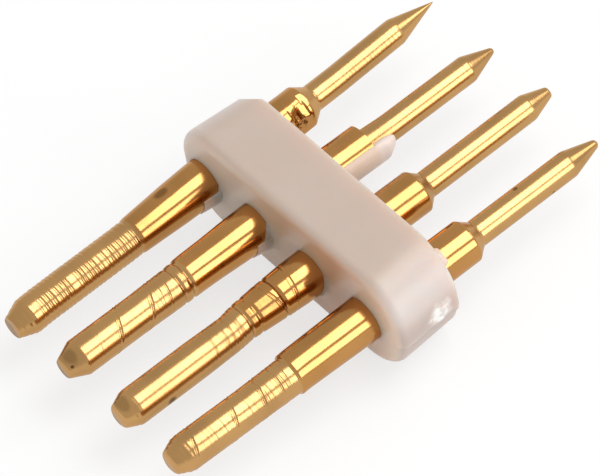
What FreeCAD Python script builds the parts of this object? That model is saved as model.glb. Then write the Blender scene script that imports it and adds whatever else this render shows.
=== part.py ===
import FreeCAD, Part
import math
import os

# A four way needle connector for light strips: four turned brass pins in one moulded nylon bar.
# The bar's long side is X, the pins run along Y with their blunt ends at -Y, and Z is up.
# The origin is the middle of the bar's flat underside. All lengths are in millimetres.

V = FreeCAD.Vector
ALONG = V(0, 1, 0)

# Pin row
pin_pitch = 3.0
pin_count = 4
row_shift = -0.31
axis_height = 2.30

# Moulded bar. A land is the straight stretch that an end's two roundings leave between them.
end_margin = 1.74
bar_depth = 2.90
bar_height = 4.66
upper_end_land = 0.74
lower_end_land = 0.46
split_drop = 0.18
split_ledge = 0.13
end_inset = 0.22
front_edge_radius = 0.45
rear_edge_chamfer = 0.12
cut_corner_depth = 0.25
cut_corner_direction = (-0.548, 0.567, 0.615)

# Sizes that the four pins share
collar_radius = 0.882
stub_radius = 0.860
needle_radius = 0.532
groove_half_width = 0.07

# Each pin's own sizes, all lengths counted from the bar's faces outwards.
# swell: distance ahead of the bar's front face and radius, from the step to the bar.
# body: length and radius of its true cylinder, behind the nose, then the taper up to the step.
# grooves: distance ahead of the bar's front face and depth.
# root: length and first radius of a slight taper that starts the needle under the mould flash.
pins = [
    dict(name="pin_1", yaw=1.2, pitch=0.6,
         swell=((3.44, 0.743), (1.48, 0.843), (0.20, 0.878)), step=0.12,
         taper=(0.0, 0.715), body=(4.96, 0.715), nose=(0.68, 0.451), nose_round=0.0,
         grooves=((3.62, 0.030),),
         stub=1.70, cone=0.48, root=(0.0, needle_radius), needle=4.16, point=(1.88, 0.02), point_round=0.0),
    dict(name="pin_2", yaw=0.0, pitch=0.0,
         swell=((3.44, 0.786), (2.22, 0.811), (1.28, 0.852), (0.63, 0.876)), step=0.24,
         taper=(1.90, 0.757), body=(2.80, 0.722), nose=(0.72, 0.403), nose_round=0.0,
         grooves=((3.555, 0.055), (3.935, 0.040)),
         stub=2.15, cone=0.0, root=(1.02, 0.580), needle=3.90, point=(1.26, 0.095), point_round=0.06),
    dict(name="pin_3", yaw=0.6, pitch=0.0,
         swell=((3.63, 0.700), (3.05, 0.745), (1.76, 0.820), (0.82, 0.872)), step=0.20,
         taper=(1.70, 0.692), body=(2.90, 0.722), nose=(0.65, 0.480), nose_round=0.12,
         grooves=((1.735, 0.050), (2.825, 0.030), (3.245, 0.045)),
         stub=2.11, cone=0.38, root=(0.0, needle_radius), needle=4.94, point=(1.02, 0.20), point_round=0.0),
    dict(name="pin_4", yaw=0.3, pitch=0.0,
         swell=((3.54, 0.826), (1.30, 0.864), (0.36, 0.879)), step=0.05,
         taper=(1.80, 0.747), body=(3.00, 0.722), nose=(0.68, 0.480), nose_round=0.14,
         grooves=(),
         stub=1.90, cone=0.42, root=(0.0, needle_radius), needle=4.44, point=(1.39, 0.145), point_round=0.10),
]

# Crushed flats on the first pin's rear stub: distance from the bar's rear face,
# turn about the pin from +X, depth, and tilt along the pin.
crush_flats = ((0.55, 6.0, 0.07, 10.0), (0.95, 30.0, 0.12, -16.0), (1.30, 2.0, 0.09, 12.0),
               (1.44, 50.0, 0.07, -9.0))
crush_length = 0.55
crush_width = 1.30

# Moulding flash that crept along three of the pins. Turns are in degrees about the pin from +X.
sleeve_pin = "pin_2"
sleeve_thickness = 0.04
sleeve_start = -138.0
sleeve_turn = 180.0
sleeve_overrun = 0.48
sleeve_cone = 0.52
lip_pins = ("pin_1", "pin_2")
lip_thickness = 0.13
lip_edge = 0.03
lip_length = 1.00
lip_start = -105.0
lip_turn = 100.0
flash_root = 0.30

bar_width = (pin_count - 1) * pin_pitch + 2 * end_margin
front_face = -bar_depth / 2
rear_face = bar_depth / 2
split_height = axis_height - split_drop


def pin_x(pin):
    """X of a pin's axis at the bar's rear face."""
    return row_shift + (pins.index(pin) - (pin_count - 1) / 2) * pin_pitch


def radius_at(points, y):
    """Radius of a profile at a place along the pin."""
    for (y0, r0), (y1, r1) in zip(points, points[1:]):
        if y0 <= y <= y1:
            return r0 + (r1 - r0) * (y - y0) / (y1 - y0)
    return points[-1][1]


def grooved(points, grooves):
    """The profile with a V groove turned at each place."""
    result = list(points)
    for ahead, depth in grooves:
        middle = front_face - ahead
        near = middle - groove_half_width
        far = middle + groove_half_width
        result = [p for p in result if not near < p[0] < far]
        result.append((near, radius_at(points, near)))
        result.append((middle, radius_at(points, middle) - depth))
        result.append((far, radius_at(points, far)))
    return sorted(result)


def turned(points, axis_start, axis_turn):
    """Solid of revolution about the Y axis from (y, radius) points."""
    corners = [V(0, points[0][0], 0)] + [V(r, y, 0) for y, r in points] + [V(0, points[-1][0], 0)]
    face = Part.Face(Part.makePolygon(corners + corners[:1]))
    face.rotate(V(0, 0, 0), ALONG, axis_start)
    return face.revolve(V(0, 0, 0), ALONG, axis_turn)


def rounded_ring(solid, y, radius):
    """Rounds the circular edge at a place along the pin."""
    ring = [e for e in solid.Edges if abs(e.BoundBox.YMin - y) < 1e-4 and abs(e.BoundBox.YMax - y) < 1e-4]
    return solid.makeFillet(radius, ring)


def turned_pin(pin):
    """One pin about the Y axis, before it is placed in the row."""
    shoulder = [(front_face - ahead, r) for ahead, r in pin["swell"]]
    taper_length, taper_radius = pin["taper"]
    body_length, body_radius = pin["body"]
    nose_length, nose_radius = pin["nose"]
    step_end = shoulder[0][0] - pin["step"]
    body_back = step_end - taper_length
    body_front = body_back - body_length
    tip = body_front - nose_length
    front = [(tip, nose_radius), (body_front, body_radius), (body_back, body_radius)]
    if taper_length > 0:
        front.append((step_end, taper_radius))
    front = grooved(front + shoulder + [(front_face, collar_radius)], pin["grooves"])
    root_length, root_radius = pin["root"]
    point_length, point_radius = pin["point"]
    stub_end = rear_face + pin["stub"]
    needle_start = stub_end + pin["cone"]
    rear = [(rear_face, collar_radius), (rear_face, stub_radius), (stub_end, stub_radius)]
    if root_length > 0:
        rear.append((needle_start, root_radius))
        needle_start += root_length
    needle_end = needle_start + pin["needle"]
    point = needle_end + point_length
    rear += [(needle_start, needle_radius), (needle_end, needle_radius), (point, point_radius)]
    solid = turned(front + rear, 0, 360)
    if pin["nose_round"] > 0:
        solid = rounded_ring(solid, tip, pin["nose_round"])
    if pin["point_round"] > 0:
        solid = rounded_ring(solid, point, pin["point_round"])
    return solid


def crushed(solid):
    """The pin with the flats of its crushed place cut from the rear stub."""
    for along, turn, depth, tilt in crush_flats:
        tool = Part.makeBox(stub_radius, crush_length, crush_width, V(0, -crush_length / 2, -crush_width / 2))
        tool.rotate(V(0, 0, 0), V(0, 0, 1), tilt)
        tool.translate(V(stub_radius - depth, rear_face + along, 0))
        tool.rotate(V(0, 0, 0), ALONG, -turn)
        solid = solid.cut(tool)
    return solid


def placed(shape, pin):
    """Leans a shape with its pin and moves it to the pin's place in the row."""
    pivot = V(0, rear_face, 0)
    shape.rotate(pivot, V(0, 0, 1), pin["yaw"])
    shape.rotate(pivot, V(1, 0, 0), pin["pitch"])
    shape.translate(V(pin_x(pin), 0, axis_height))
    return shape


def half_outline(side, width, radius):
    """One end of the bar's outline, from the middle outwards, as a face in the bar's front plane."""
    x = side * width / 2
    inner = x - side * radius
    bulge = x - side * radius * (1 - math.sqrt(0.5))
    rise = radius * (1 - math.sqrt(0.5))
    y, top = front_face, bar_height
    edges = [Part.makeLine(V(0, y, 0), V(inner, y, 0)),
             Part.Arc(V(inner, y, 0), V(bulge, y, rise), V(x, y, radius)).toShape(),
             Part.makeLine(V(x, y, radius), V(x, y, top - radius)),
             Part.Arc(V(x, y, top - radius), V(bulge, y, top - rise), V(inner, y, top)).toShape(),
             Part.makeLine(V(inner, y, top), V(0, y, top)),
             Part.makeLine(V(0, y, top), V(0, y, 0))]
    return Part.Face(Part.Wire(edges))


def moulded_block(width, land):
    """The bar's form for one mould half, narrower at the back, with its front edges rounded."""
    radius = (bar_height - land) / 2
    halves = [half_outline(side, width, radius).extrude(V(-side * end_inset, bar_depth, 0)) for side in (-1, 1)]
    block = halves[0].fuse(halves[1]).removeSplitter()
    rim = [e for e in block.Edges if abs(e.BoundBox.YMin - front_face) < 1e-4 and abs(e.BoundBox.YMax - front_face) < 1e-4]
    block = block.makeFillet(front_edge_radius, rim)
    rim = [e for e in block.Edges if abs(e.BoundBox.YMin - rear_face) < 1e-4 and abs(e.BoundBox.YMax - rear_face) < 1e-4]
    return block.makeChamfer(rear_edge_chamfer, rim)


def slab(z0, z1):
    """Everything between two heights, wider than the bar."""
    return Part.makeBox(2 * bar_width, 2 * bar_depth, z1 - z0, V(-bar_width, -bar_depth, z0))


def cut_corner():
    """Block that takes the flat off the bar's upper rear corner, at the end of the first pin."""
    out = V(*cut_corner_direction)
    out.normalize()
    radius = (bar_height - upper_end_land) / 2
    centre = V(end_inset + radius - bar_width / 2, rear_face, bar_height - radius)
    reach = centre.dot(out) + radius * math.hypot(out.x, out.z) - cut_corner_depth
    block = Part.makeBox(bar_height, bar_height, bar_height, V(-bar_height / 2, -bar_height / 2, 0))
    block.Placement = FreeCAD.Placement(V(0, 0, 0), FreeCAD.Rotation(V(0, 0, 1), out)).multiply(block.Placement)
    block.translate(centre + out * (reach - centre.dot(out)))
    return block


def flash():
    """Thin plastic that the mould left on the pins, one solid for each place."""
    pieces = []
    for pin in pins:
        if pin["name"] == sleeve_pin:
            outer = stub_radius + sleeve_thickness
            sleeve_end = rear_face + pin["stub"] + sleeve_overrun
            sleeve = [(rear_face - flash_root, outer), (sleeve_end, outer),
                      (sleeve_end + sleeve_cone, needle_radius + sleeve_thickness)]
            pieces.append(placed(turned(sleeve, -sleeve_start, -sleeve_turn), pin))
        if pin["name"] in lip_pins:
            outer = collar_radius + lip_thickness
            lip = [(front_face - lip_length, collar_radius + lip_edge), (front_face, outer),
                   (front_face + front_edge_radius + flash_root, outer)]
            pieces.append(placed(turned(lip, -lip_start, -lip_turn), pin))
    return pieces


solids = {}
for pin in pins:
    solid = turned_pin(pin)
    if pin is pins[0]:
        solid = crushed(solid)
    solids[pin["name"]] = placed(solid, pin)

upper = moulded_block(bar_width, upper_end_land).common(slab(split_height, bar_height + 1)).cut(cut_corner())
lower = moulded_block(bar_width - 2 * split_ledge, lower_end_land).common(slab(-1, split_height))
bar = upper.fuse([lower] + flash())
bar = bar.cut(Part.makeCompound(list(solids.values()))).removeSplitter()
solids["insulator_bar"] = bar

os.makedirs("parts", exist_ok=True)
for name, shape in solids.items():
    shape.exportStep("parts/" + name + ".step")
    box = shape.BoundBox
    print(name, shape.ShapeType, len(shape.Solids), shape.isValid(), round(shape.Volume, 3),
          [round(v, 3) for v in (box.XMin, box.XMax, box.YMin, box.YMax, box.ZMin, box.ZMax)])
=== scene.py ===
import bpy
import bmesh
import math
from mathutils import Matrix, Quaternion, Vector, noise


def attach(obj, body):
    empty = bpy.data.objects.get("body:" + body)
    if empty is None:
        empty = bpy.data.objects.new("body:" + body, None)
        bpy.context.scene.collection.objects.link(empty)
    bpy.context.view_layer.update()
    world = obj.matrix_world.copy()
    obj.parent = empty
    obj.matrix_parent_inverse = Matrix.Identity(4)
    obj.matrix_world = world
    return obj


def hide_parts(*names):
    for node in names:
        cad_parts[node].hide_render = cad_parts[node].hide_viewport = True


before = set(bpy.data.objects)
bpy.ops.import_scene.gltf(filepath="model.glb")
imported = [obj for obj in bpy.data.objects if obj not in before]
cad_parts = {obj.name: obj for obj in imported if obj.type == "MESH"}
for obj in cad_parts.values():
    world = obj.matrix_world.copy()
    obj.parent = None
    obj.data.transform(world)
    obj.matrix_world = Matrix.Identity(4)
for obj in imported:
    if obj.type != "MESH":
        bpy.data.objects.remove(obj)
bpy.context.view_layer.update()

mm = 0.001                    # sizes below are in millimetres, Blender works in metres
scene = bpy.context.scene
print("stage 1: frame loaded")


# Small helpers for node trees

def addNode(tree, kind, x, y, **settings):
    node = tree.nodes.new(kind)
    node.location = (x, y)
    for name, value in settings.items():
        setattr(node, name, value)
    return node


def feed(tree, socket, value):
    if isinstance(value, bpy.types.NodeSocket):
        tree.links.new(value, socket)
    else:
        socket.default_value = value


def mathNode(tree, operation, x, y, first, second=None, third=None):
    node = addNode(tree, "ShaderNodeMath", x, y, operation=operation)
    for socket, value in zip(node.inputs, (first, second, third)):
        if value is not None:
            feed(tree, socket, value)
    return node.outputs[0]


def vectorNode(tree, operation, x, y, first, second=None):
    node = addNode(tree, "ShaderNodeVectorMath", x, y, operation=operation)
    tree.links.new(first, node.inputs[0])
    if operation == "SCALE":
        feed(tree, node.inputs["Scale"], second)
    elif second is not None:
        feed(tree, node.inputs[1], second)
    return node.outputs["Value" if operation == "LENGTH" else "Vector"]


def mapNode(tree, x, y, value, given=(0, 1), wanted=(0, 1)):
    node = addNode(tree, "ShaderNodeMapRange", x, y)
    for name, number in zip(("From Min", "From Max", "To Min", "To Max"), (*given, *wanted)):
        node.inputs[name].default_value = number
    tree.links.new(value, node.inputs["Value"])
    return node.outputs[0]


def zoneNode(tree, x, y, value, zone):     # 0 at the zone's first edge, 1 at its second
    return mapNode(tree, x, y, value, [edge * mm for edge in zone])


def noiseNode(tree, x, y, place, scale, detail=2.0):
    node = addNode(tree, "ShaderNodeTexNoise", x, y)
    node.inputs["Scale"].default_value = scale
    node.inputs["Detail"].default_value = detail
    tree.links.new(place, node.inputs["Vector"])
    return node.outputs[0]


def lineNoiseNode(tree, x, y, place, scale):
    node = addNode(tree, "ShaderNodeTexNoise", x, y, noise_dimensions="1D")
    node.inputs["Scale"].default_value = scale
    tree.links.new(place, node.inputs["W"])
    return node.outputs[0]


def stretchNode(tree, x, y, place, stretch):
    node = addNode(tree, "ShaderNodeMapping", x, y)
    node.inputs["Scale"].default_value = stretch
    tree.links.new(place, node.inputs["Vector"])
    return node.outputs[0]


def awayNode(tree, x, y, place, spot, size):     # distance from a spot, 1 at the half sizes
    offset = vectorNode(tree, "SUBTRACT", x, y, place, [v * mm for v in spot])
    shape = vectorNode(tree, "DIVIDE", x + 160, y, offset, [v * mm for v in size])
    return vectorNode(tree, "LENGTH", x + 320, y, shape)


def mixNode(tree, x, y, factor, first, second):
    node = addNode(tree, "ShaderNodeMix", x, y, data_type="RGBA")
    tree.links.new(factor, node.inputs["Factor"])
    for socket, value in ((node.inputs["A"], first), (node.inputs["B"], second)):
        feed(tree, socket, (*value, 1) if isinstance(value, tuple) else value)
    return node.outputs["Result"]


def newMaterial(name):
    material = bpy.data.materials.new(name)
    material.use_nodes = True
    tree = material.node_tree
    tree.nodes.clear()
    output = addNode(tree, "ShaderNodeOutputMaterial", 900, 0)
    return material, tree, output


# Small helpers for meshes

def meshObject(name, mesh):
    piece = bpy.data.objects.new(name, mesh)
    scene.collection.objects.link(piece)
    return piece


def bakedMesh(piece, name):
    graph = bpy.context.evaluated_depsgraph_get()
    mesh = bpy.data.meshes.new_from_object(piece.evaluated_get(graph))
    mesh.name = name
    return mesh


# Brass: turned rod, bright but worn, with fine tool marks round the pin

brass = dict(
    polished=(0.54, 0.270, 0.086), turned=(0.57, 0.325, 0.125), edge=(0.88, 0.82, 0.76),
    polishedRoughness=0.15, turnedRoughness=0.22, roughnessSpread=0.12, blend=0.02,
    cloudScale=420.0, cloudDetail=4.0, cloudRange=(0.42, 0.70), dulling=0.82,
    markStretch=(0.02, 1.0, 0.02), markScale=9000.0, markDetail=3.0, markDepth=0.006,
    turnedMarks=0.55, polishedMarks=0.06,
    stain=(0.05, 0.018, 0.006), stainScale=1500.0, stainRag=0.9, stainEdge=(1.65, 1.15))


def brassMaterial(pin):
    material, tree, output = newMaterial("brass_" + pin["node"])
    link = tree.links.new
    place = addNode(tree, "ShaderNodeTexCoord", -1600, 0).outputs["Object"]
    cloud = noiseNode(tree, -1050, 0, place, brass["cloudScale"], brass["cloudDetail"])
    dulling = mapNode(tree, -800, 100, cloud, brass["cloudRange"], (1.0, brass["dulling"]))
    # polished between the step and the end of the stub, turned and duller elsewhere
    parts = addNode(tree, "ShaderNodeSeparateXYZ", -1300, 500)
    link(place, parts.inputs[0])
    step = (pin["step"] - brass["blend"], pin["step"] + brass["blend"])
    needle = (pin["stubEnd"] + brass["blend"], pin["stubEnd"] - brass["blend"])
    fromStep = zoneNode(tree, -1050, 500, parts.outputs["Y"], step)
    toNeedle = zoneNode(tree, -1050, 760, parts.outputs["Y"], needle)
    polished = mathNode(tree, "MULTIPLY", -800, 600, fromStep, toNeedle)
    base = mixNode(tree, -640, 160, polished, brass["turned"], brass["polished"])
    tone = vectorNode(tree, "SCALE", -460, 160, base, dulling)
    dirt = stainMask(tree, place, pin["stains"])
    stained = mixNode(tree, -300, 160, dirt, tone, brass["stain"])
    roughnesses = (brass["turnedRoughness"], brass["polishedRoughness"])
    rough = mapNode(tree, -540, -180, polished, wanted=roughnesses)
    spread = brass["roughnessSpread"]
    uneven = mathNode(tree, "MULTIPLY_ADD", -340, -180, cloud, spread, -spread / 2)
    roughness = mathNode(tree, "ADD", -160, -180, rough, uneven)
    along = stretchNode(tree, -1300, -400, place, brass["markStretch"])
    marks = noiseNode(tree, -1050, -400, along, brass["markScale"], brass["markDetail"])
    strength = mapNode(tree, -540, -480, polished, wanted=(brass["turnedMarks"], brass["polishedMarks"]))
    bump = addNode(tree, "ShaderNodeBump", -300, -400)
    bump.inputs["Distance"].default_value = brass["markDepth"] * mm
    link(strength, bump.inputs["Strength"])
    link(marks, bump.inputs["Height"])
    surface = addNode(tree, "ShaderNodeBsdfPrincipled", 0, 0)
    surface.inputs["Metallic"].default_value = 1.0
    surface.inputs["Specular Tint"].default_value = (*brass["edge"], 1)
    link(stained, surface.inputs["Base Color"])
    link(roughness, surface.inputs["Roughness"])
    link(bump.outputs[0], surface.inputs["Normal"])
    link(surface.outputs[0], output.inputs["Surface"])
    return material


def stainMask(tree, place, stains):
    blur = noiseNode(tree, -1300, 1100, place, brass["stainScale"])
    total = 0.0
    for k, (spot, size, strength) in enumerate(stains):
        y = 1100 + 240 * k
        away = awayNode(tree, -1100, y, place, spot, size)
        ragged = mathNode(tree, "MULTIPLY_ADD", -620, y, blur, brass["stainRag"], away)
        dark = mapNode(tree, -460, y, ragged, brass["stainEdge"], (0, strength))
        total = mathNode(tree, "MAXIMUM", -300, y, dark, total)
    return total


# Nylon: off-white, lets light in a little, with a soft moulded sheen
# A zone gives the two places in millimetres between which a tone sets in.
# front: tones of the front face, each at its place along X; they are painted reflection of the brass pins and
# painted shade

nylon = dict(
    body=(0.525, 0.432, 0.368), warm=(0.50, 0.39, 0.31),
    cloudScale=160.0, cloudDetail=4.0, cloudRange=(0.45, 0.9),
    # the lighter ends tone is painted light on the upper corners of the bar's ends, the darker tone after it
    # painted shade on their lower parts
    ends=(0.610, 0.555, 0.530), endsPaintedShade=(0.48, 0.395, 0.355),
    endZone=(4.7, 6.0), upperZone=(2.5, 3.7), lowerZone=(3.3, 2.5),
    front=[(-6.2, (0.68, 0.57, 0.48)), (-3.3, (0.68, 0.57, 0.47)), (-0.3, (0.56, 0.40, 0.28)),
           (2.7, (0.55, 0.33, 0.21)), (5.6, (0.74, 0.59, 0.47))],
    frontZone=(-1.28, -1.46),
    thin=(0.715, 0.56, 0.45), behindZone=(1.46, 1.56), beforeZone=(-1.75, -2.0),
    streak=(0.60, 0.44, 0.32), streakStretch=(1.0, 0.04, 1.0), streakScale=4200.0,
    streakRange=(0.45, 0.65), streakShare=0.8,
    drop=(0.75, 0.63, 0.575), dropZone=(3.55, 3.75),
    roughness=0.34, softness=0.5, lightReach=(2.4, 1.1, 0.7),
    grainScale=2600.0, grainDetail=3.0, grainDepth=0.010, grainStrength=0.35)

# The rough place where the gate was broken off, and the small nub beside it

scar = dict(
    colour=(0.86, 0.81, 0.78), spot=(6.10, 0.50, 2.52), size=(0.60, 0.56, 0.62),
    rag=1.3, ragScale=2600.0, ragDetail=5.0, edge=(1.75, 1.15),
    patchScale=4200.0, patchRange=(0.40, 0.58), patchShare=(0.45, 1.0), grainGain=2.5,
    swell=0.07, lumps=0.10, lumpScale=5.0)
nub = dict(spot=(1.40, 2.02), size=(0.75, 0.26), height=0.15, shareAboveSplit=0.35, endStart=5.6)


# painted reflection of the pins and painted shade along the front face, set by place along X
def paintedFrontReflectionAndShade(tree, x, y, across):
    first, last = nylon["front"][0][0], nylon["front"][-1][0]
    tint = addNode(tree, "ShaderNodeValToRGB", x, y)
    stops = tint.color_ramp.elements
    for place, colour in nylon["front"]:
        share = (place - first) / (last - first)
        if place == first:
            stop = stops[0]
        elif place == last:
            stop = stops[-1]
        else:
            stop = stops.new(share)
        stop.position = share
        stop.color = (*colour, 1)
    tree.links.new(zoneNode(tree, x - 180, y, across, (first, last)), tint.inputs[0])
    return tint.outputs["Color"]


def scarMask(tree, place):
    away = awayNode(tree, -1040, 620, place, scar["spot"], scar["size"])
    rag = noiseNode(tree, -1200, 760, place, scar["ragScale"], scar["ragDetail"])
    ragged = mathNode(tree, "MULTIPLY_ADD", -560, 620, rag, scar["rag"], away)
    return mapNode(tree, -400, 620, ragged, scar["edge"])


def nylonMaterial():
    material, tree, output = newMaterial("moulded_nylon")
    link = tree.links.new
    place = addNode(tree, "ShaderNodeTexCoord", -1400, 0).outputs["Object"]
    parts = addNode(tree, "ShaderNodeSeparateXYZ", -1200, 420)
    link(place, parts.inputs[0])
    across, along, height = parts.outputs
    cloud = noiseNode(tree, -1100, 100, place, nylon["cloudScale"], nylon["cloudDetail"])
    blendIn = mapNode(tree, -900, 100, cloud, nylon["cloudRange"])
    tone = mixNode(tree, -700, 120, blendIn, nylon["body"], nylon["warm"])
    # painted light and shade: the upper corners of the bar's two ends are made lighter as if lit, and their
    # lower parts darker as if in shade
    outward = mathNode(tree, "ABSOLUTE", -1040, 560, across)
    nearEnd = zoneNode(tree, -880, 560, outward, nylon["endZone"])
    upper = zoneNode(tree, -880, 640, height, nylon["upperZone"])
    lower = zoneNode(tree, -880, 700, height, nylon["lowerZone"])
    paintedLightOnEnds = mathNode(tree, "MULTIPLY", -720, 600, nearEnd, upper)
    paintedShadeOnEnds = mathNode(tree, "MULTIPLY", -720, 680, nearEnd, lower)
    tone = mixNode(tree, -620, 300, paintedLightOnEnds, tone, nylon["ends"])
    tone = mixNode(tree, -580, 300, paintedShadeOnEnds, tone, nylon["endsPaintedShade"])
    # painted reflection and shade: the front face is tinted brown as if the pins were reflected in it, and
    # darkened as if in shade, more towards the fourth pin
    onFront = zoneNode(tree, -880, 740, along, nylon["frontZone"])
    tone = mixNode(tree, -540, 240, onFront, tone, paintedFrontReflectionAndShade(tree, -700, 900, across))
    # thin flash along the pins is streaky, and the sleeve on the second pin ends in a whiter drop
    behind = zoneNode(tree, -880, 420, along, nylon["behindZone"])
    before = zoneNode(tree, -880, 300, along, nylon["beforeZone"])
    thin = mathNode(tree, "MAXIMUM", -700, 420, behind, before)
    tone = mixNode(tree, -400, 200, thin, tone, nylon["thin"])
    drawn = stretchNode(tree, -1040, 1060, place, nylon["streakStretch"])
    streaks = noiseNode(tree, -880, 1060, drawn, nylon["streakScale"])
    darker = mapNode(tree, -720, 1060, streaks, nylon["streakRange"], (0, nylon["streakShare"]))
    lined = mathNode(tree, "MULTIPLY", -560, 1060, darker, thin)
    tone = mixNode(tree, -350, 200, lined, tone, nylon["streak"])
    onDrop = zoneNode(tree, -880, 180, along, nylon["dropZone"])
    tone = mixNode(tree, -300, 200, onDrop, tone, nylon["drop"])
    # the scar of the gate is rough and whitish
    onScar = scarMask(tree, place)
    patches = noiseNode(tree, -560, 860, place, scar["patchScale"])
    mottled = mapNode(tree, -400, 860, patches, scar["patchRange"], scar["patchShare"])
    white = mathNode(tree, "MULTIPLY", -300, 740, onScar, mottled)
    tone = mixNode(tree, -200, 200, white, tone, scar["colour"])
    grain = noiseNode(tree, -900, -300, place, nylon["grainScale"], nylon["grainDetail"])
    deep = mathNode(tree, "MULTIPLY_ADD", -700, -300, onScar, scar["grainGain"], 1.0)
    bump = addNode(tree, "ShaderNodeBump", -300, -300)
    bump.inputs["Strength"].default_value = nylon["grainStrength"]
    bump.inputs["Distance"].default_value = nylon["grainDepth"] * mm
    link(mathNode(tree, "MULTIPLY", -540, -300, grain, deep), bump.inputs["Height"])
    soft = mathNode(tree, "MULTIPLY_ADD", -260, 420, thin, -nylon["softness"], nylon["softness"])
    surface = addNode(tree, "ShaderNodeBsdfPrincipled", 0, 0)
    surface.inputs["Roughness"].default_value = nylon["roughness"]
    surface.inputs["Subsurface Radius"].default_value = [v * mm for v in nylon["lightReach"]]
    surface.inputs["Subsurface Scale"].default_value = 1.0
    link(soft, surface.inputs["Subsurface Weight"])
    link(tone, surface.inputs["Base Color"])
    link(bump.outputs[0], surface.inputs["Normal"])
    link(surface.outputs[0], output.inputs["Surface"])
    return material


# The bar's sizes, shared with the pins that stand in it

bar = dict(
    width=12.48, depth=2.90, height=4.66, axisHeight=2.30, upperEndRadius=1.96, lowerEndRadius=2.10,
    splitHeight=2.12, splitLedge=0.13, endInset=0.22, frontRound=0.45, rearRound=0.16,
    cutCornerSpot=(-4.06, 1.45, 2.70), cutCornerNormal=(-0.548, 0.567, 0.615), cutCornerDepth=0.25,
    leftTrim=0.05, splitGap=0.02, stubRadius=0.860, holeGap=0.003,
    cornerSteps=18, frontSteps=8, middleSteps=20, rearSteps=3, crispAngle=35)
frontFace = -bar["depth"] / 2
rearFace = bar["depth"] / 2

# Each pin: x of its axis at the bar's rear face, lean in degrees, where the polish starts and ends,
# and the turned outline as (y, radius, ring depth) from the nose to the point.
# bend: how far the axis strays along X at places along the pin.
# marks: (y, depth, half width, lead) of single tool marks that wind about the pin.
# stains: (place, half sizes, strength) of dark spots.

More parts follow.
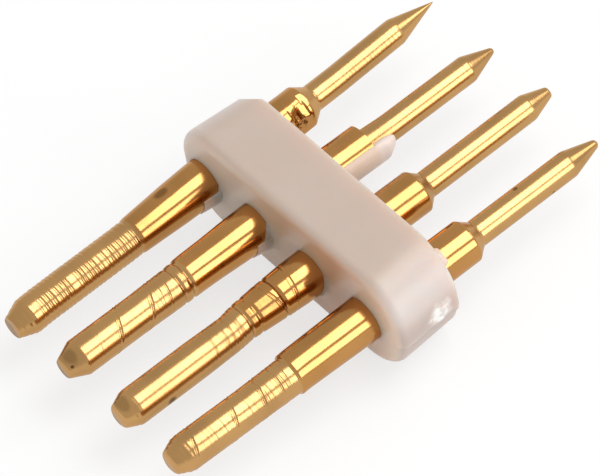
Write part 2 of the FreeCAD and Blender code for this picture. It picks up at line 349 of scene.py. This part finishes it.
pins = [
    dict(name="pin_1_turned", node="pin_1", x=-4.81, yaw=1.2, pitch=0.6, seed=3, feed=0.205,
         step=-4.98, stubEnd=3.15,
         outline=[(-10.66, 0.436, 0.0), (-10.65, 0.451, 0.010), (-9.97, 0.708, 0.012), (-9.91, 0.716, 0.013),
                  (-5.14, 0.715, 0.015), (-5.07, 0.680, 0.0), (-5.00, 0.720, 0.0), (-4.89, 0.743, 0.0),
                  (-2.93, 0.843, 0.0), (-1.65, 0.878, 0.0), (-1.45, 0.882, 0.0), (1.449, 0.882, 0.0),
                  (1.45, 0.862, 0.0), (3.11, 0.860, 0.0), (3.15, 0.850, 0.0), (3.59, 0.548, 0.0),
                  (3.65, 0.532, 0.002), (7.76, 0.532, 0.002), (7.84, 0.522, 0.001), (9.62, 0.03, 0.0),
                  (9.67, 0.010, 0.0)],
         bend=[(-10.7, 0.01), (-9.3, -0.029), (-5.45, 0.035), (-3.0, 0.013), (-1.45, 0.0), (1.45, 0.0),
               (2.0, 0.035), (2.65, 0.045), (4.85, 0.034), (5.75, 0.005), (7.45, -0.045), (9.7, -0.08)],
         marks=[(-8.35, 0.012, 0.03, 0.3), (-7.52, 0.010, 0.03, 0.3), (-6.28, 0.010, 0.03, 0.3)],
         stains=[((-4.89, -3.33, 3.08), (0.20, 0.30, 0.17), 0.5),
                 ((-5.33, -9.20, 2.62), (0.10, 0.10, 0.10), 0.5)]),
    dict(name="pin_2_turned", node="pin_2", x=-1.81, yaw=0.0, pitch=0.0, seed=5, feed=0.23,
         step=-4.86, stubEnd=3.60,
         outline=[(-10.56, 0.390, 0.0), (-10.55, 0.403, 0.0), (-9.86, 0.710, 0.0), (-9.80, 0.721, 0.001),
                  (-7.03, 0.722, 0.002), (-5.50, 0.750, 0.004), (-5.455, 0.745, 0.0), (-5.39, 0.695, 0.0),
                  (-5.31, 0.755, 0.0), (-5.16, 0.768, 0.0), (-5.08, 0.750, 0.0), (-5.00, 0.700, 0.0),
                  (-4.92, 0.775, 0.0), (-4.85, 0.787, 0.0), (-3.67, 0.811, 0.0), (-2.73, 0.852, 0.0),
                  (-2.08, 0.876, 0.0), (-1.45, 0.882, 0.0), (1.449, 0.882, 0.0), (1.45, 0.862, 0.0),
                  (3.58, 0.860, 0.0), (3.598, 0.845, 0.0), (3.602, 0.580, 0.0), (4.60, 0.534, 0.0),
                  (4.66, 0.532, 0.001), (8.48, 0.532, 0.0015), (8.56, 0.520, 0.0), (9.70, 0.130, 0.0),
                  (9.75, 0.085, 0.0), (9.78, 0.030, 0.0)],
         bend=[(-10.6, 0.095), (-6.7, 0.065), (-5.3, 0.055), (-4.6, 0.02), (-1.45, 0.015), (1.45, 0.015),
               (4.9, 0.03), (9.8, -0.02)],
         marks=[(-8.13, 0.026, 0.045, 1.9), (-6.65, 0.026, 0.045, 1.9), (-5.90, 0.014, 0.035, 0.9),
                (-6.20, 0.008, 0.03, 0.9), (-9.1, 0.006, 0.03, 1.2)],
         stains=[((-1.34, -10.40, 2.63), (0.08, 0.08, 0.08), 0.8),
                 ((-1.66, -10.26, 2.80), (0.34, 0.24, 0.30), 0.32)]),
    dict(name="pin_3_turned", node="pin_3", x=1.19, yaw=0.6, pitch=0.0, seed=8, feed=0.22,
         step=-4.62, stubEnd=3.56,
         outline=[(-10.535, 0.370, 0.0), (-10.52, 0.420, 0.0), (-10.46, 0.486, 0.006), (-9.96, 0.704, 0.006),
                  (-9.82, 0.722, 0.001), (-6.98, 0.722, 0.001), (-5.28, 0.692, 0.006), (-5.08, 0.700, 0.004),
                  (-4.77, 0.712, 0.0), (-4.695, 0.662, 0.0), (-4.61, 0.726, 0.0), (-4.40, 0.742, 0.0),
                  (-4.275, 0.715, 0.0), (-4.19, 0.755, 0.0), (-3.28, 0.818, 0.0), (-3.185, 0.765, 0.0),
                  (-3.10, 0.828, 0.0), (-2.27, 0.872, 0.0), (-1.45, 0.882, 0.0), (1.449, 0.882, 0.0),
                  (1.45, 0.862, 0.0), (3.52, 0.860, 0.0), (3.56, 0.850, 0.0), (3.91, 0.552, 0.0),
                  (3.95, 0.532, 0.001), (8.85, 0.532, 0.0015), (8.94, 0.518, 0.0), (9.88, 0.215, 0.0),
                  (9.90, 0.190, 0.0)],
         bend=[(-10.6, 0.045), (-5.3, 0.055), (-4.7, -0.03), (-1.45, 0.0), (1.45, 0.0),
               (4.2, 0.025), (9.9, 0.0)],
         marks=[(-6.30, 0.010, 0.035, 0.6), (-5.745, 0.012, 0.035, 0.6), (-5.465, 0.014, 0.04, 0.4),
                (-5.085, 0.014, 0.035, 0.3), (-3.42, 0.020, 0.035, -1.2), (-2.6, 0.008, 0.05, 0.8)],
         stains=[((1.96, -8.64, 2.18), (0.24, 0.20, 0.20), 0.8),
                 ((1.30, -10.22, 2.80), (0.36, 0.22, 0.30), 0.30)]),
    dict(name="pin_4_turned", node="pin_4", x=4.19, yaw=0.3, pitch=0.0, seed=13, feed=0.215,
         step=-5.02, stubEnd=3.35,
         outline=[(-10.523, 0.350, 0.0), (-10.51, 0.410, 0.0), (-10.45, 0.488, 0.008), (-9.98, 0.694, 0.012),
                  (-9.76, 0.722, 0.003), (-6.84, 0.722, 0.003), (-5.06, 0.747, 0.006), (-5.035, 0.752, 0.0),
                  (-5.00, 0.815, 0.0), (-4.96, 0.828, 0.0), (-2.75, 0.864, 0.0), (-1.81, 0.879, 0.0),
                  (-1.45, 0.882, 0.0), (1.449, 0.882, 0.0), (1.45, 0.862, 0.0), (3.31, 0.860, 0.0),
                  (3.35, 0.850, 0.0), (3.74, 0.550, 0.0), (3.79, 0.532, 0.001), (8.18, 0.532, 0.0015),
                  (8.27, 0.518, 0.0), (9.50, 0.170, 0.0), (9.56, 0.125, 0.0), (9.60, 0.050, 0.0)],
         bend=[(-10.6, -0.02), (-6.9, 0.03), (-5.1, 0.03), (-4.7, 0.0), (1.45, 0.0), (9.7, -0.03)],
         marks=[(-9.595, 0.022, 0.05, 1.3), (-7.765, 0.020, 0.045, 1.4), (-6.495, 0.022, 0.045, 0.9),
                (-5.725, 0.018, 0.04, 0.3), (-5.40, 0.008, 0.03, 0.3)],
         stains=[((3.94, 5.92, 2.78), (0.10, 0.10, 0.10), 0.7),
                 ((4.68, 7.06, 2.19), (0.06, 0.06, 0.06), 0.8)]),
]

# Turning: rows along the rod and sides round it, gentle lumps, and tool marks that drift and come in patches

turning = dict(
    sides=72, spacing=0.03, unevenness=0.006, unevenScale=1.6,
    drift=2.6, driftScale=0.9, sharpness=1.8, patchScale=2.3, patchRange=(0.3, 0.7), patchShare=(0.2, 1.9),
    crispAngle=60)


def attributeNode(tree, x, y, name):
    node = addNode(tree, "GeometryNodeInputNamedAttribute", x, y, data_type="FLOAT")
    node.inputs["Name"].default_value = name
    return node.outputs[0]


def ringNodes(tree, parts, feedLength, alongMm, shifted):     # a shallow helix round the pin, of uneven depth
    angle = mathNode(tree, "ARCTAN2", -1000, -760, parts.outputs["Z"], parts.outputs["X"])
    turn = mathNode(tree, "MULTIPLY", -820, -760, angle, 1 / (2 * math.pi))
    count = mathNode(tree, "DIVIDE", -820, -600, alongMm, feedLength)
    phase = mathNode(tree, "ADD", -460, -680, count, turn)
    drift = lineNoiseNode(tree, -640, -1000, shifted, turning["driftScale"])
    wander = mathNode(tree, "MULTIPLY", -460, -900, drift, turning["drift"])
    phase = mathNode(tree, "ADD", -300, -760, phase, wander)
    wave = mathNode(tree, "SINE", 20, -760, mathNode(tree, "MULTIPLY", -140, -760, phase, 2 * math.pi))
    groove = mathNode(tree, "MULTIPLY", 180, -760, wave, 0.5)
    groove = mathNode(tree, "ABSOLUTE", 380, -900, mathNode(tree, "SUBTRACT", 340, -760, groove, 0.5))
    groove = mathNode(tree, "POWER", 420, -860, groove, turning["sharpness"])
    patchy = lineNoiseNode(tree, -140, -1160, shifted, turning["patchScale"])
    share = mapNode(tree, 20, -1160, patchy, turning["patchRange"], turning["patchShare"])
    ring = mathNode(tree, "MULTIPLY", 580, -860, groove, attributeNode(tree, 20, -960, "ringDepth"))
    return mathNode(tree, "MULTIPLY", 740, -860, ring, share)


def lumpNodes(tree, spot, seed):     # gentle unevenness of the rod
    lumpy = addNode(tree, "ShaderNodeTexNoise", 180, -1200, noise_dimensions="4D")
    lumpy.inputs["Scale"].default_value = turning["unevenScale"]
    tree.links.new(vectorNode(tree, "SCALE", 0, -1340, spot, 1 / mm), lumpy.inputs["Vector"])
    tree.links.new(seed, lumpy.inputs["W"])
    lump = mathNode(tree, "SUBTRACT", 380, -1200, lumpy.outputs[0], 0.5)
    return mathNode(tree, "MULTIPLY", 540, -1200, lump, turning["unevenness"])


def turningTree():
    tree = bpy.data.node_groups.new("turnedPin", "GeometryNodeTree")
    sockets = tree.interface
    sockets.new_socket("Geometry", in_out="INPUT", socket_type="NodeSocketGeometry")
    sockets.new_socket("Feed", in_out="INPUT", socket_type="NodeSocketFloat")
    sockets.new_socket("Seed", in_out="INPUT", socket_type="NodeSocketFloat")
    sockets.new_socket("Material", in_out="INPUT", socket_type="NodeSocketMaterial")
    sockets.new_socket("Geometry", in_out="OUTPUT", socket_type="NodeSocketGeometry")
    link = tree.links.new
    given = addNode(tree, "NodeGroupInput", -1600, 0)
    # the outline's radius scales a circle that is swept along the pin's axis
    path = addNode(tree, "GeometryNodeMeshToCurve", -1400, 0)
    link(given.outputs["Geometry"], path.inputs["Mesh"])
    fine = addNode(tree, "GeometryNodeResampleCurve", -1200, 0, mode="LENGTH")
    fine.inputs["Length"].default_value = turning["spacing"] * mm
    link(path.outputs[0], fine.inputs["Curve"])
    circle = addNode(tree, "GeometryNodeCurvePrimitiveCircle", -1200, 260)
    circle.inputs["Radius"].default_value = 1.0
    circle.inputs["Resolution"].default_value = turning["sides"]
    skin = addNode(tree, "GeometryNodeCurveToMesh", -960, 0)
    skin.inputs["Fill Caps"].default_value = True
    link(fine.outputs[0], skin.inputs["Curve"])
    link(circle.outputs["Curve"], skin.inputs["Profile Curve"])
    link(attributeNode(tree, -1200, -260, "turnRadius"), skin.inputs["Scale"])
    # lumps push each point outward from the axis, rings draw it in
    spot = addNode(tree, "GeometryNodeInputPosition", -1400, -600).outputs[0]
    parts = addNode(tree, "ShaderNodeSeparateXYZ", -1200, -600)
    link(spot, parts.inputs[0])
    alongMm = mathNode(tree, "DIVIDE", -1000, -600, parts.outputs["Y"], mm)
    shifted = mathNode(tree, "ADD", -820, -1000, alongMm, given.outputs["Seed"])
    ring = ringNodes(tree, parts, given.outputs["Feed"], alongMm, shifted)
    lump = lumpNodes(tree, spot, given.outputs["Seed"])
    away = mathNode(tree, "MULTIPLY", 1060, -900, mathNode(tree, "SUBTRACT", 900, -900, lump, ring), mm)
    outward = addNode(tree, "ShaderNodeCombineXYZ", 560, -560)
    link(parts.outputs["X"], outward.inputs["X"])
    link(parts.outputs["Z"], outward.inputs["Z"])
    unit = vectorNode(tree, "NORMALIZE", 740, -560, outward.outputs[0])
    moved = addNode(tree, "GeometryNodeSetPosition", 1400, 0)
    link(skin.outputs[0], moved.inputs["Geometry"])
    link(vectorNode(tree, "SCALE", 1240, -560, unit, away), moved.inputs["Offset"])
    smooth = addNode(tree, "GeometryNodeSetShadeSmooth", 1580, 0)
    link(moved.outputs[0], smooth.inputs["Geometry"])
    paint = addNode(tree, "GeometryNodeSetMaterial", 1900, 0)
    link(smooth.outputs[0], paint.inputs["Geometry"])
    link(given.outputs["Material"], paint.inputs["Material"])
    output = addNode(tree, "NodeGroupOutput", 2080, 0)
    link(paint.outputs[0], output.inputs["Geometry"])
    return tree


# Single tool marks: a groove between two low ridges, fading out towards the pin's far side
# facing: the direction in degrees that they are deepest at. The fade is in radians away from it.

scribing = dict(
    facing=55.6, rearmost=-1.6, fadeStart=2.0, fadeStop=2.6, reach=3,
    grooveFall=2, ridge=0.45, ridgePlace=1.5, ridgeFall=3)


def markProfile(u):     # u counts half widths from the groove's middle
    groove = math.exp(-u * u * scribing["grooveFall"])
    ridges = math.exp(-(abs(u) - scribing["ridgePlace"]) ** 2 * scribing["ridgeFall"])
    return scribing["ridge"] * ridges - groove


def scribed(mesh, pin):
    fadeLength = scribing["fadeStop"] - scribing["fadeStart"]
    for vertex in mesh.vertices:
        y = vertex.co.y / mm
        if y >= scribing["rearmost"]:
            continue
        turn = math.atan2(vertex.co.z, vertex.co.x) - math.radians(scribing["facing"])
        turn = (turn + math.pi) % (2 * math.pi) - math.pi
        fade = min(1.0, max(0.0, (scribing["fadeStop"] - abs(turn)) / fadeLength))
        shift = 0.0
        for place, depth, halfWidth, lead in pin["marks"]:
            u = (y - place - lead * turn / (2 * math.pi)) / halfWidth
            if abs(u) < scribing["reach"]:
                shift += depth * fade * markProfile(u)
        if shift:
            out = Vector((vertex.co.x, 0, vertex.co.z)).normalized()
            vertex.co += out * shift * mm


def bent(mesh, pin):
    for vertex in mesh.vertices:
        y = vertex.co.y / mm
        for (y0, x0), (y1, x1) in zip(pin["bend"], pin["bend"][1:]):
            if y0 <= y < y1:
                vertex.co.x += (x0 + (x1 - x0) * (y - y0) / (y1 - y0)) * mm


def pinPlace(pin):
    pivot = Vector((0, rearFace * mm, 0))
    lean = Quaternion((1, 0, 0), math.radians(pin["pitch"])) @ Quaternion((0, 0, 1), math.radians(pin["yaw"]))
    shift = Vector((pin["x"] * mm, 0, bar["axisHeight"] * mm))
    return Matrix.Translation(shift + pivot) @ lean.to_matrix().to_4x4() @ Matrix.Translation(-pivot)


def turnPin(pin, tree, material):
    line = bpy.data.meshes.new(pin["name"] + "_outline")
    points = [(0, y * mm, 0) for y, r, cut in pin["outline"]]
    line.from_pydata(points, [(k, k + 1) for k in range(len(points) - 1)], [])
    radii = line.attributes.new("turnRadius", "FLOAT", "POINT")
    cuts = line.attributes.new("ringDepth", "FLOAT", "POINT")
    for k, (y, r, cut) in enumerate(pin["outline"]):
        radii.data[k].value = r * mm
        cuts.data[k].value = cut
    source = meshObject(pin["name"] + "_source", line)
    modifier = source.modifiers.new("turning", "NODES")
    modifier.node_group = tree
    ids = {item.name: item.identifier for item in tree.interface.items_tree if item.in_out == "INPUT"}
    modifier[ids["Feed"]] = pin["feed"]
    modifier[ids["Seed"]] = float(pin["seed"])
    modifier[ids["Material"]] = material
    mesh = bakedMesh(source, pin["name"])
    mesh.set_sharp_from_angle(angle=math.radians(turning["crispAngle"]))
    bpy.data.objects.remove(source)
    bpy.data.meshes.remove(line)
    return mesh


# The crushed place on the first pin's stub: flats pressed in and a torn lip pushed out
# flats: place along the pin, direction in degrees, depth, tilt in degrees, half length
# lipSpot, lipReach: place along the pin and direction in degrees

crush = dict(
    start=rearFace + 0.12, stop=3.5,
    flats=[(1.90, 42.0, 0.045, -1.0, 0.40), (2.00, 6.0, 0.07, 10.0, 0.30), (2.42, 24.0, 0.12, -16.0, 0.26),
           (2.75, 2.0, 0.09, 12.0, 0.30), (2.80, 45.0, 0.055, -2.0, 0.20), (3.05, 68.0, 0.03, 4.0, 0.16)],
    lipSpot=(2.35, 10.0), lipReach=(0.58, 32.0), lipHeight=0.13, lipScale=2.9, tornScale=1.7, tornShift=0.35)


def crushPin(mesh):
    for vertex in mesh.vertices:
        y = vertex.co.y / mm
        if not crush["start"] < y < crush["stop"]:
            continue
        for along, turn, depth, tilt, halfLength in crush["flats"]:
            if abs(y - along) > halfLength:
                continue
            a = math.radians(turn)
            outward = Vector((math.cos(a), 0, math.sin(a)))
            limit = bar["stubRadius"] - depth + (y - along) * math.tan(math.radians(tilt))
            reach = vertex.co.dot(outward) / mm
            if reach > limit:
                vertex.co -= outward * (reach - limit) * mm
        angle = math.degrees(math.atan2(vertex.co.z, vertex.co.x))
        near = ((y - crush["lipSpot"][0]) / crush["lipReach"][0]) ** 2
        near += ((angle - crush["lipSpot"][1]) / crush["lipReach"][1]) ** 2
        if near < 1:
            place = vertex.co / mm * crush["lipScale"]
            out = Vector((vertex.co.x, 0, vertex.co.z)).normalized()
            torn = noise.noise(place * crush["tornScale"]) + noise.cell(place) - crush["tornShift"]
            vertex.co += out * (1 - near) * torn * crush["lipHeight"] * mm


pinTree = turningTree()
for pin in pins:
    mesh = turnPin(pin, pinTree, brassMaterial(pin))
    scribed(mesh, pin)
    bent(mesh, pin)
    if pin["node"] == "pin_1":
        crushPin(mesh)
    mesh.transform(pinPlace(pin))
    piece = meshObject(pin["name"], mesh)
    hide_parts(pin["node"])
    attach(piece, "root")
    print("stage 2:", pin["name"], "turned,", len(mesh.polygons), "faces")


# The moulded bar: rows of points round its outline, stepped from the front face to the rear face

def barOutline(inset, endShift):
    half = bar["width"] / 2 - inset - endShift
    low, high = inset, bar["height"] - inset
    upper = bar["upperEndRadius"] - inset
    lower = bar["lowerEndRadius"] - inset
    lowerHalf = half - bar["splitLedge"]
    overSplit = bar["splitHeight"] + bar["splitGap"]
    underSplit = bar["splitHeight"] - bar["splitGap"]
    trim = bar["leftTrim"]
    points = [(half, overSplit)]
    points += arc(half - upper, high - upper, upper, 0)
    points += arc(upper + trim - half, high - upper, upper, 90)
    points += [(trim - half, overSplit), (trim - lowerHalf, underSplit)]
    points += arc(lower + trim - lowerHalf, low + lower, lower, 180)
    points += arc(lowerHalf - lower, low + lower, lower, 270)
    points += [(lowerHalf, underSplit)]
    return points


def arc(x, z, radius, start):     # a quarter turn from the start angle
    steps = bar["cornerSteps"]
    angles = [math.radians(start + 90 * k / steps) for k in range(steps + 1)]
    return [(x + radius * math.cos(a), z + radius * math.sin(a)) for a in angles]


def barRows():     # place along Y of each row, and how far the edge is rounded in there
    rows = []
    for k in range(bar["frontSteps"] + 1):
        a = math.radians(90 * k / bar["frontSteps"])
        inset = bar["frontRound"] * (1 - math.sin(a))
        rows.append((frontFace + bar["frontRound"] * (1 - math.cos(a)), inset))
    middle = bar["depth"] - bar["frontRound"] - bar["rearRound"]
    for k in range(1, bar["middleSteps"] + 1):
        rows.append((frontFace + bar["frontRound"] + middle * k / bar["middleSteps"], 0))
    for k in range(1, bar["rearSteps"] + 1):
        a = math.radians(90 * k / bar["rearSteps"])
        rows.append((rearFace - bar["rearRound"] * (1 - math.sin(a)), bar["rearRound"] * (1 - math.cos(a))))
    return rows


def cutCorner(form):
    normal = Vector(bar["cutCornerNormal"]).normalized()
    reach = bar["upperEndRadius"] * math.hypot(normal.x, normal.z) - bar["cutCornerDepth"]
    spot = (Vector(bar["cutCornerSpot"]) + normal * reach) * mm
    cut = bmesh.ops.bisect_plane(form, geom=form.verts[:] + form.edges[:] + form.faces[:], dist=1e-9,
                                 plane_co=spot, plane_no=normal, clear_outer=True)
    bmesh.ops.holes_fill(form, edges=[e for e in cut["geom_cut"] if isinstance(e, bmesh.types.BMEdge)])


def meshFromForm(form, name):
    bmesh.ops.recalc_face_normals(form, faces=form.faces)
    mesh = bpy.data.meshes.new(name)
    form.to_mesh(mesh)
    form.free()
    return mesh


def mouldBar():
    form = bmesh.new()
    rings = []
    for y, inset in barRows():
        shift = bar["endInset"] * (y - frontFace) / bar["depth"]
        rings.append([form.verts.new((x * mm, y * mm, z * mm)) for x, z in barOutline(inset, shift)])
    for near, far in zip(rings, rings[1:]):
        for k in range(len(near)):
            j = (k + 1) % len(near)
            form.faces.new((near[k], near[j], far[j], far[k]))
    form.faces.new(rings[0])
    form.faces.new(rings[-1])
    cutCorner(form)
    return meshObject("insulator_bar_moulded", meshFromForm(form, "insulator_bar_moulded"))


# Flash: thin plastic that crept along the pins, turned about each pin's axis
# pin: its place in the list of pins
# start, stop: where round the pin it lies, in degrees
# taper: share of the length in front of the bar that is lost from start to stop
# rounding: how far its two rear corners are rounded

lipOutline = [(-2.45, 0.90), (-2.1, 0.95), (-1.45, 1.012), (-0.55, 1.02)]
flash = [
    dict(pin=1, start=-138.0, stop=42.0, rounding=0.75, taper=0.0,
         outline=[(1.25, 0.905), (4.02, 0.905), (4.14, 0.885), (4.42, 0.72), (4.56, 0.62), (4.60, 0.50)]),
    dict(pin=0, start=-105.0, stop=10.0, rounding=0.0, taper=0.2, outline=lipOutline),
    dict(pin=0, start=-30.0, stop=26.0, rounding=0.0, taper=1.0,
         outline=[(-1.90, 0.91), (-1.75, 0.93), (-1.62, 0.97), (-1.54, 1.04), (-1.48, 1.14),
                  (-1.455, 1.22), (-1.44, 1.28), (-0.90, 1.28)]),
    dict(pin=1, start=-105.0, stop=8.0, rounding=0.0, taper=0.3, outline=lipOutline),
    dict(pin=1, start=-30.0, stop=48.0, rounding=0.0, taper=1.0,
         outline=[(-2.20, 0.91), (-1.85, 0.93), (-1.65, 0.975), (-1.54, 1.04), (-1.48, 1.14),
                  (-1.455, 1.26), (-1.44, 1.32), (-0.90, 1.32)]),
    dict(pin=2, start=-70.0, stop=36.0, rounding=0.0, taper=1.0,
         outline=[(-1.95, 0.92), (-1.78, 0.935), (-1.63, 0.975), (-1.54, 1.04), (-1.48, 1.14),
                  (-1.455, 1.26), (-1.44, 1.32), (-0.90, 1.32)]),
    dict(pin=3, start=38.0, stop=92.0, rounding=0.25, taper=0.0,
         outline=[(1.20, 0.93), (1.80, 0.92), (1.96, 0.90), (2.04, 0.865)]),
    dict(pin=0, start=-80.0, stop=-18.0, rounding=0.0, taper=0.0,
         outline=[(1.20, 1.02), (1.50, 1.00), (1.92, 0.90)]),
]

# The inner radius is hidden in the pin. Corners round off from a share of the half turn outward.
flashForm = dict(inner=0.50, steps=48, roundFrom=0.72, roundBehind=0.3)
hole = dict(start=-3.3, stop=4.7, sides=72)     # the part of each pin's outline that cuts the plastic


def turnedForm(outline, angles, shifted, name, pin):
    form = bmesh.new()
    rings = []
    for k, angle in enumerate(angles):
        a = math.radians(angle)
        rings.append([form.verts.new((r * math.cos(a) * mm, shifted(y, k) * mm, r * math.sin(a) * mm))
                      for y, r in outline])
    whole = angles[-1] - angles[0] > 350     # only a full turn comes so far
    if whole:
        rings.append(rings[0])
    for near, far in zip(rings, rings[1:]):
        for k in range(len(near) - 1):
            form.faces.new((near[k], near[k + 1], far[k + 1], far[k]))
        if not whole:
            form.faces.new((near[-1], near[0], far[0], far[-1]))
    if whole:
        form.faces.new([ring[0] for ring in rings[:-1]])
        form.faces.new([ring[-1] for ring in rings[:-1]])
    else:
        form.faces.new(rings[0])
        form.faces.new(rings[-1])
    bmesh.ops.remove_doubles(form, verts=form.verts, dist=1e-7)
    mesh = meshFromForm(form, name)
    bent(mesh, pin)
    mesh.transform(pinPlace(pin))
    return meshObject(name, mesh)


def flashPiece(patch, number):
    first, last = patch["outline"][0][0], patch["outline"][-1][0]
    outline = [(first, flashForm["inner"])] + patch["outline"] + [(last, flashForm["inner"])]
    steps = flashForm["steps"]
    angles = [patch["start"] + (patch["stop"] - patch["start"]) * k / steps for k in range(steps + 1)]

    def shifted(y, k):
        if y > rearFace + flashForm["roundBehind"]:
            edge = abs(2 * k / steps - 1) - flashForm["roundFrom"]
            edge = max(0.0, edge) / (1 - flashForm["roundFrom"])
            return y - patch["rounding"] * (1 - math.sqrt(max(0.0, 1 - edge * edge)))
        if y < frontFace:
            return frontFace + (y - frontFace) * (1 - patch["taper"] * k / steps)
        return y

    return turnedForm(outline, angles, shifted, "flash_%d" % number, pins[patch["pin"]])


def holeTool(pin):
    outline = [(y, r + bar["holeGap"]) for y, r, cut in pin["outline"] if hole["start"] < y < hole["stop"]]
    angles = [360 / hole["sides"] * k for k in range(hole["sides"])]
    return turnedForm(outline, angles, lambda y, k: y, "hole", pin)


def booleanStep(target, tool, operation):
    modifier = target.modifiers.new("step", "BOOLEAN")
    modifier.operation = operation
    modifier.solver = "EXACT"
    modifier.object = tool
    mesh = bakedMesh(target, target.name)
    target.modifiers.clear()
    old = target.data
    target.data = mesh
    bpy.data.meshes.remove(old)
    bpy.data.objects.remove(tool)


def roughenScar(mesh):
    for vertex in mesh.vertices:
        place = vertex.co / mm
        away = place - Vector(scar["spot"])
        near = math.hypot(*[part / half for part, half in zip(away, scar["size"])])
        if near < 1:
            lump = scar["swell"] + scar["lumps"] * noise.noise(place * scar["lumpScale"])
            vertex.co.x += (1 - near) * lump * mm
        along = 1 - ((place.y - nub["spot"][0]) / nub["size"][0]) ** 2
        height = 1 - ((place.z - nub["spot"][1]) / nub["size"][1]) ** 2
        if place.x > nub["endStart"] and along > 0 and height > 0:
            share = 1.0 if place.z < bar["splitHeight"] else nub["shareAboveSplit"]
            vertex.co.x += share * along * height * nub["height"] * mm


barPiece = mouldBar()
for number, patch in enumerate(flash):
    booleanStep(barPiece, flashPiece(patch, number), "UNION")
for pin in pins:
    booleanStep(barPiece, holeTool(pin), "DIFFERENCE")
roughenScar(barPiece.data)
barPiece.data.materials.clear()
barPiece.data.materials.append(nylonMaterial())
barPiece.data.shade_smooth()
barPiece.data.set_sharp_from_angle(angle=math.radians(bar["crispAngle"]))
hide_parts("insulator_bar")
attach(barPiece, "root")
print("stage 3: bar moulded,", len(barPiece.data.polygons), "faces")


# Studio: a pale floor, a soft sky, two long soft boxes above and to the right and a small one behind
# Its lengths are in metres. turn and lean give the direction to each soft box from the object.

studio = dict(
    floorSize=0.9, floorDrop=0.00002, floorColour=(0.88, 0.88, 0.88), floorGlow=0.70,
    skyLow=(0.85, 0.85, 0.85), skyHigh=(0.72, 0.72, 0.72), skyRange=(0.02, 0.30),
    boxes=[dict(name="softBoxAbove", turn=75.0, lean=0.33, width=0.185, length=0.085, glow=4.6),
           dict(name="softBoxRight", turn=25.0, lean=0.33, width=0.120, length=0.085, glow=4.2),
           dict(name="softBoxBehind", turn=70.0, lean=0.76, width=0.110, length=0.070, glow=3.2)],
    boxDistance=0.25)


def floorMaterial():
    material, tree, output = newMaterial("pale_floor")
    cloth = addNode(tree, "ShaderNodeBsdfDiffuse", 0, 100)
    cloth.inputs["Color"].default_value = (*studio["floorColour"], 1)
    glow = addNode(tree, "ShaderNodeEmission", 0, -100)
    glow.inputs["Strength"].default_value = 1.0
    rays = addNode(tree, "ShaderNodeLightPath", -600, 300)
    seen = mathNode(tree, "ADD", -400, 300, rays.outputs["Is Camera Ray"], rays.outputs["Is Glossy Ray"])
    seen = mathNode(tree, "ADD", -240, 300, seen, rays.outputs["Is Transmission Ray"])
    share = mathNode(tree, "MULTIPLY", -80, 300, seen, studio["floorGlow"])
    mix = addNode(tree, "ShaderNodeMixShader", 300, 0)
    tree.links.new(share, mix.inputs["Fac"])
    tree.links.new(cloth.outputs[0], mix.inputs[1])
    tree.links.new(glow.outputs[0], mix.inputs[2])
    tree.links.new(mix.outputs[0], output.inputs["Surface"])
    return material


def layFloor():
    half = studio["floorSize"] / 2
    mesh = bpy.data.meshes.new("studioFloor")
    corners = [(-half, -half, 0), (half, -half, 0), (half, half, 0), (-half, half, 0)]
    mesh.from_pydata(corners, [], [(0, 1, 2, 3)])
    mesh.materials.append(floorMaterial())
    floor = meshObject("studioFloor", mesh)
    floor.location.z = -studio["floorDrop"]


def hangSky():
    world = bpy.data.worlds.new("studioSky")
    scene.world = world
    world.use_nodes = True
    tree = world.node_tree
    tree.nodes.clear()
    place = addNode(tree, "ShaderNodeTexCoord", -800, 0)
    parts = addNode(tree, "ShaderNodeSeparateXYZ", -600, 0)
    tree.links.new(place.outputs["Generated"], parts.inputs[0])
    height = mapNode(tree, -400, 0, parts.outputs["Z"], studio["skyRange"])
    sky = addNode(tree, "ShaderNodeBackground", 200, 0)
    tree.links.new(mixNode(tree, -100, 0, height, studio["skyLow"], studio["skyHigh"]), sky.inputs["Color"])
    output = addNode(tree, "ShaderNodeOutputWorld", 400, 0)
    tree.links.new(sky.outputs[0], output.inputs["Surface"])


def hangSoftBox(box):
    lamp = bpy.data.lights.new(box["name"], "AREA")
    lamp.shape = "RECTANGLE"
    lamp.size = box["width"]
    lamp.size_y = box["length"]
    lamp.energy = box["glow"] * math.pi * box["width"] * box["length"]
    holder = bpy.data.objects.new(box["name"], lamp)
    scene.collection.objects.link(holder)
    a = math.radians(box["turn"])
    flat = math.sqrt(1 - box["lean"] ** 2)
    direction = Vector((math.cos(a) * flat, box["lean"], math.sin(a) * flat))
    back = direction.normalized()
    right = Vector((0, 1, 0)).cross(back).normalized()
    spin = Matrix((right, back.cross(right), back)).transposed().to_4x4()
    holder.matrix_world = Matrix.Translation(direction * studio["boxDistance"]) @ spin


layFloor()
hangSky()
for box in studio["boxes"]:
    hangSoftBox(box)
print("stage 4: studio lit")

# Camera at the photograph's angle

view = dict(spot=(157.639, -96.354, 232.970), aim=(-0.598, -0.548, 1.738), roll=-11.17,
            lens=495.04, sensor=36.0, clip=(0.01, 5.0))


def placeCamera():
    lens = bpy.data.cameras.new("photoCamera")
    lens.lens = view["lens"]
    lens.sensor_width = view["sensor"]
    lens.clip_start, lens.clip_end = view["clip"]
    camera = bpy.data.objects.new("photoCamera", lens)
    scene.collection.objects.link(camera)
    spot = Vector(view["spot"]) * mm
    look = Vector(view["aim"]) * mm - spot
    turn = look.to_track_quat("-Z", "Y") @ Quaternion((0, 0, 1), math.radians(view["roll"]))
    camera.matrix_world = Matrix.Translation(spot) @ turn.to_matrix().to_4x4()
    scene.camera = camera


placeCamera()
scene.view_settings.view_transform = "Standard"
print("stage 5: camera placed")
